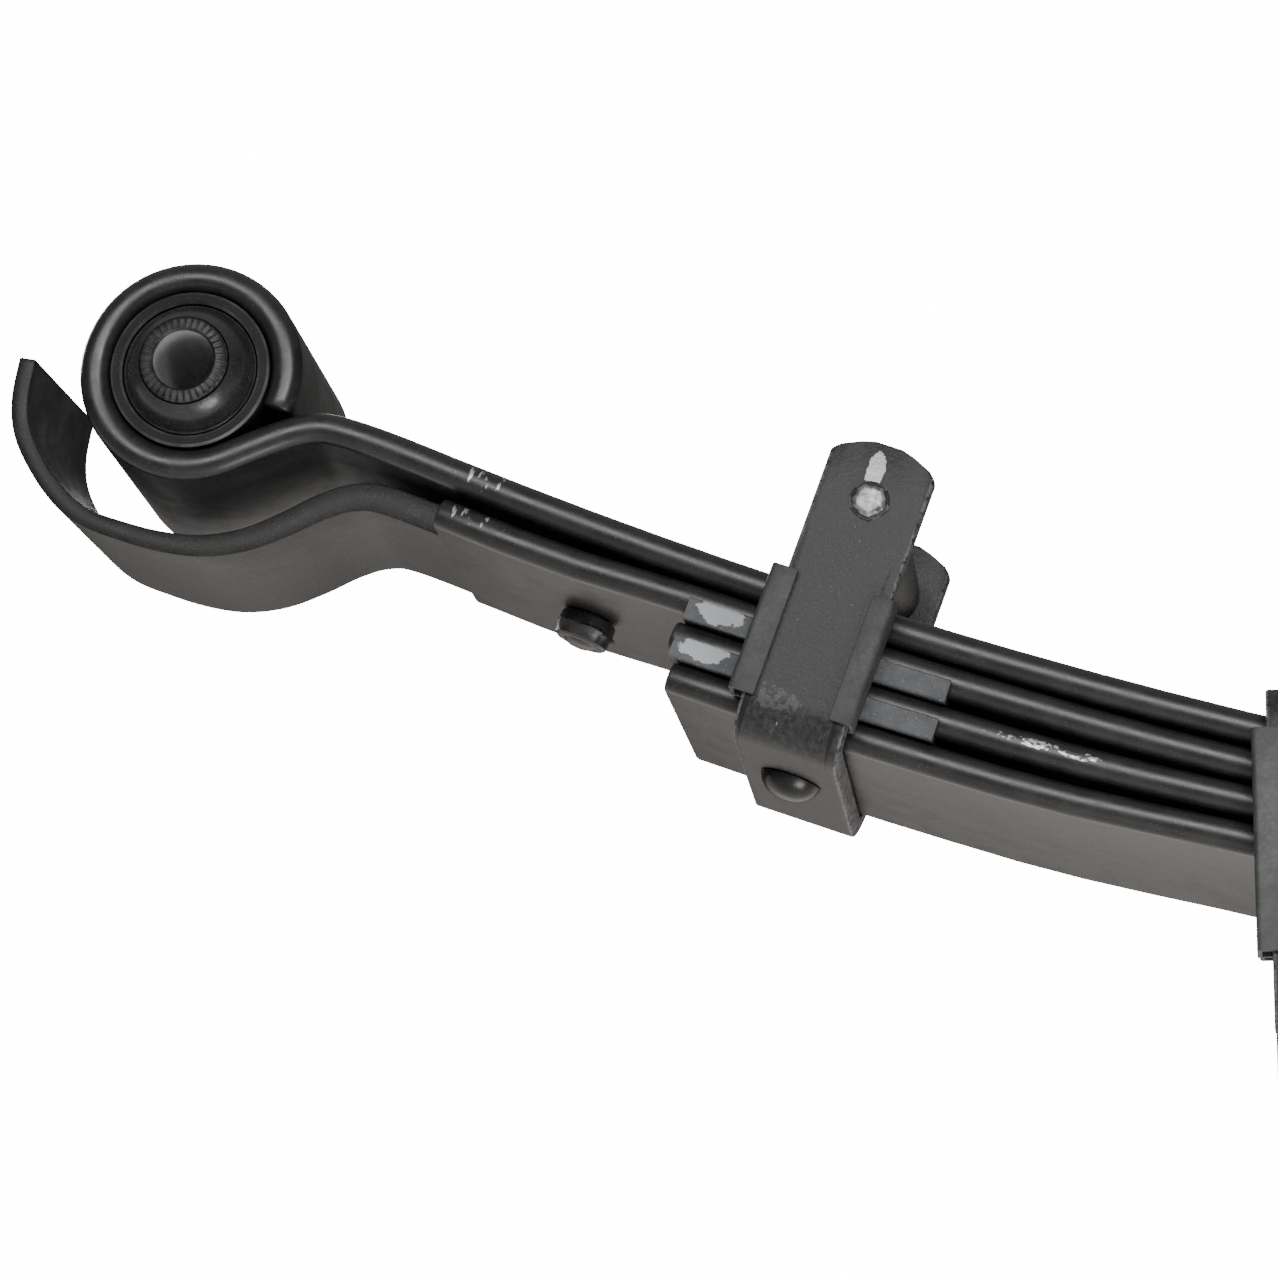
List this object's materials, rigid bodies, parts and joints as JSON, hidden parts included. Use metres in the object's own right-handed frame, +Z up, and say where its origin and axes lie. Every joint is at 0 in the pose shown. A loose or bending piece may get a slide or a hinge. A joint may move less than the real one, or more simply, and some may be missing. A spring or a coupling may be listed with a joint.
{
  "type": "leaf spring",
  "caption": "Arched multi-leaf spring pack with bushed end eyes, a wrapped second leaf, strap clips, tip pads and a centre bolt.",
  "frame": {"origin": "centre of the flat end of the centre bolt's head, the stud that locates the pack on its axle seat", "axes": "+X along the spring from the wrapped front eye to the rear eye, +Y across the leaves, +Z up from the seat to the eyes"},
  "size_m": [1.1968, 0.0937, 0.1797],
  "materials": {
    "leaf_paint": "semi-gloss black chassis paint on rolled spring steel",
    "clip_paint": "satin black paint on forged and bent steel strip",
    "bare_steel": "bare turned steel, dulled",
    "zinc_steel": "dull plated steel",
    "bush_rubber": "moulded black rubber with a slight sheen",
    "liner_plastic": "moulded dark grey plastic",
    "pad_plastic": "moulded grey plastic, overspray worn off at the ends"
  },
  "bodies": {
    "seat": {"main_leaf": "leaf_paint", "second_leaf": "leaf_paint", "third_leaf": "leaf_paint", "fourth_leaf": "leaf_paint", "center_bolt": "zinc_steel", "center_nut": "zinc_steel"},
    "front_arm": {"front_bush_shell": "clip_paint", "front_bush_rubber": "bush_rubber", "front_tip_pad_third": "pad_plastic", "front_tip_pad_fourth": "pad_plastic", "front_wear_plug": "zinc_steel", "front_tip_clip_strap": "clip_paint", "front_tip_clip_liner_near": "liner_plastic", "front_tip_clip_liner_far": "liner_plastic", "front_tip_clip_spacer": "clip_paint", "front_tip_clip_pin": "bare_steel", "front_tip_clip_rivet": "clip_paint", "front_inner_clip_strap": "clip_paint", "front_inner_clip_liner_near": "liner_plastic", "front_inner_clip_liner_far": "liner_plastic", "front_inner_clip_spacer": "clip_paint", "front_inner_clip_bolt": "zinc_steel", "front_inner_clip_nut": "zinc_steel"},
    "rear_arm": {"rear_bush_shell": "clip_paint", "rear_bush_rubber": "bush_rubber", "rear_tip_pad_third": "pad_plastic", "rear_tip_pad_fourth": "pad_plastic", "rear_tip_pad_second": "pad_plastic", "rear_tip_clip_strap": "clip_paint", "rear_tip_clip_liner_near": "liner_plastic", "rear_tip_clip_liner_far": "liner_plastic", "rear_tip_clip_spacer": "clip_paint", "rear_tip_clip_pin": "bare_steel", "rear_tip_clip_rivet": "clip_paint", "rear_inner_clip_strap": "clip_paint", "rear_inner_clip_liner_near": "liner_plastic", "rear_inner_clip_liner_far": "liner_plastic", "rear_inner_clip_spacer": "clip_paint", "rear_inner_clip_bolt": "zinc_steel", "rear_inner_clip_nut": "zinc_steel"},
    "front_sleeve": {"front_bush_sleeve": "bare_steel"},
    "rear_sleeve": {"rear_bush_sleeve": "bare_steel"}
  },
  "joints": [
    {"name": "front_flex", "type": "hinge", "parent": "seat", "child": "front_arm", "pos_m": [-0.15, 0, 0.028], "axis": [0, -1, 0], "range_deg": [-2, 13], "stiffness_Nm_per_rad": 2300, "deforming": ["main_leaf", "second_leaf", "third_leaf", "fourth_leaf"]},
    {"name": "rear_flex", "type": "hinge", "parent": "seat", "child": "rear_arm", "pos_m": [0.15, 0, 0.028], "axis": [0, 1, 0], "range_deg": [-2, 13], "stiffness_Nm_per_rad": 2300, "deforming": ["main_leaf", "second_leaf", "third_leaf", "fourth_leaf"]},
    {"name": "front_bush_twist", "type": "hinge", "parent": "front_arm", "child": "front_sleeve", "pos_m": [-0.5675, 0, 0.15675], "axis": [0, 1, 0], "range_deg": [-25, 25], "stiffness_Nm_per_rad": 80},
    {"name": "rear_bush_twist", "type": "hinge", "parent": "rear_arm", "child": "rear_sleeve", "pos_m": [0.5675, 0, 0.15675], "axis": [0, 1, 0], "range_deg": [-25, 25], "stiffness_Nm_per_rad": 80}
  ]
}
